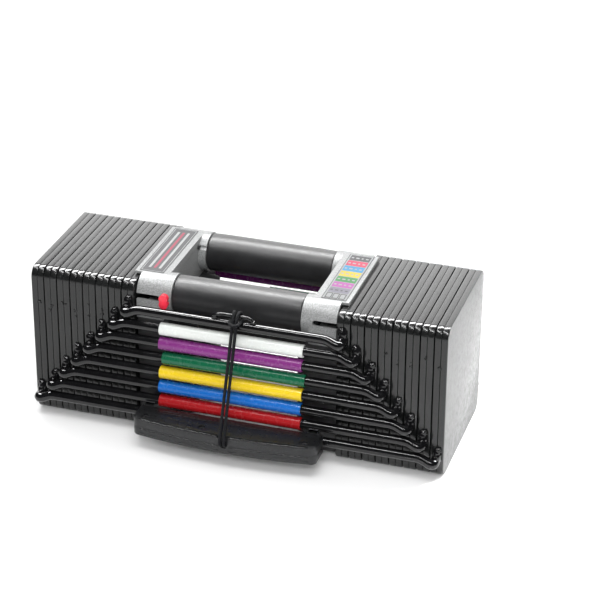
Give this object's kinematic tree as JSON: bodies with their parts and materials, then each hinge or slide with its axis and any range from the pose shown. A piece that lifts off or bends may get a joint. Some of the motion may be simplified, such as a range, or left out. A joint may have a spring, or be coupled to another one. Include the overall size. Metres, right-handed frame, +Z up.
{
  "type": "adjustable dumbbell",
  "caption": "Adjustable dumbbell: nested rail-joined weights round a handle core, with a selector pin held by an elastic cord.",
  "frame": {"origin": "centre of the dumbbell's footprint on the floor, half way along the block and half way between the front of the selector pin's handle and the tips of its prongs", "axes": "+X along the block, -Y to the side that the selector pin enters, +Z up"},
  "size_m": [0.406, 0.2103, 0.158],
  "materials": {
    "plate_coat": "gloss",
    "rail_coat": "gloss",
    "sleeve_white": "satin",
    "sleeve_purple": "satin",
    "sleeve_green": "satin",
    "sleeve_yellow": "satin",
    "sleeve_blue": "satin",
    "sleeve_red": "satin",
    "silver_paint": "satin",
    "black_plastic": "satin",
    "label_dark": "satin",
    "label_chart": "satin",
    "pad_rubber": "satin",
    "tube_steel": "brushed",
    "adder_steel": "brushed",
    "knob_red": "gloss",
    "spring_steel": "polished",
    "grip_rubber": "matte",
    "black_screws": "satin",
    "pin_plastic": "textured",
    "fork_steel": "brushed",
    "magnet_nickel": "polished",
    "cord_braid": "woven"
  },
  "bodies": {
    "base_weight": {"weight_8_left_plates": "plate_coat", "weight_8_right_plates": "plate_coat", "weight_8_rails": "rail_coat"},
    "stack": {"weight_1_left_plates": "plate_coat", "weight_1_right_plates": "plate_coat", "weight_1_rails": "rail_coat", "weight_2_left_plates": "plate_coat", "weight_2_right_plates": "plate_coat", "weight_2_rails": "rail_coat", "weight_3_left_plates": "plate_coat", "weight_3_right_plates": "plate_coat", "weight_3_rails": "rail_coat", "weight_4_left_plates": "plate_coat", "weight_4_right_plates": "plate_coat", "weight_4_rails": "rail_coat", "weight_5_left_plates": "plate_coat", "weight_5_right_plates": "plate_coat", "weight_5_rails": "rail_coat", "weight_6_left_plates": "plate_coat", "weight_6_right_plates": "plate_coat", "weight_6_rails": "rail_coat", "weight_7_left_plates": "plate_coat", "weight_7_right_plates": "plate_coat", "weight_7_rails": "rail_coat", "sleeves_white": "sleeve_white", "sleeves_purple": "sleeve_purple", "sleeves_green": "sleeve_green", "sleeves_yellow": "sleeve_yellow", "sleeves_blue": "sleeve_blue", "sleeves_red": "sleeve_red", "left_housing": "silver_paint", "left_tower": "black_plastic", "right_housing": "silver_paint", "right_tower": "black_plastic", "left_label": "label_dark", "right_label": "label_chart", "front_tube": "tube_steel", "front_pad": "pad_rubber", "front_adder_weight": "adder_steel", "front_lock_spring": "spring_steel", "rear_tube": "tube_steel", "rear_pad": "pad_rubber", "rear_adder_weight": "adder_steel", "rear_lock_spring": "spring_steel", "grip_bar": "tube_steel", "grip_rubber": "grip_rubber", "grip_bolts": "black_screws", "housing_screws": "black_screws", "tether_staple": "rail_coat", "tether_cord": "cord_braid"},
    "selector_pin": {"pin_upper_shell": "pin_plastic", "pin_lower_shell": "pin_plastic", "pin_fork": "fork_steel", "pin_screws": "black_screws", "pin_magnets": "magnet_nickel", "tether_ferrule": "tube_steel"},
    "front_lock": {"front_lock_knob": "knob_red"},
    "rear_lock": {"rear_lock_knob": "knob_red"}
  },
  "joints": [
    {"name": "lift", "type": "slide", "parent": "base_weight", "child": "stack", "axis": [0, 0, 1], "range_m": [0, 0.17]},
    {"name": "pin_slide", "type": "slide", "parent": "stack", "child": "selector_pin", "axis": [0, -1, 0], "range_m": [0, 0.175], "deforming": ["tether_cord"]},
    {"name": "front_lock_pull", "type": "slide", "parent": "stack", "child": "front_lock", "axis": [0, -1, 0], "range_m": [0, 0.002], "deforming": ["front_lock_spring"]},
    {"name": "rear_lock_pull", "type": "slide", "parent": "stack", "child": "rear_lock", "axis": [0, 1, 0], "range_m": [0, 0.002], "deforming": ["rear_lock_spring"]}
  ]
}
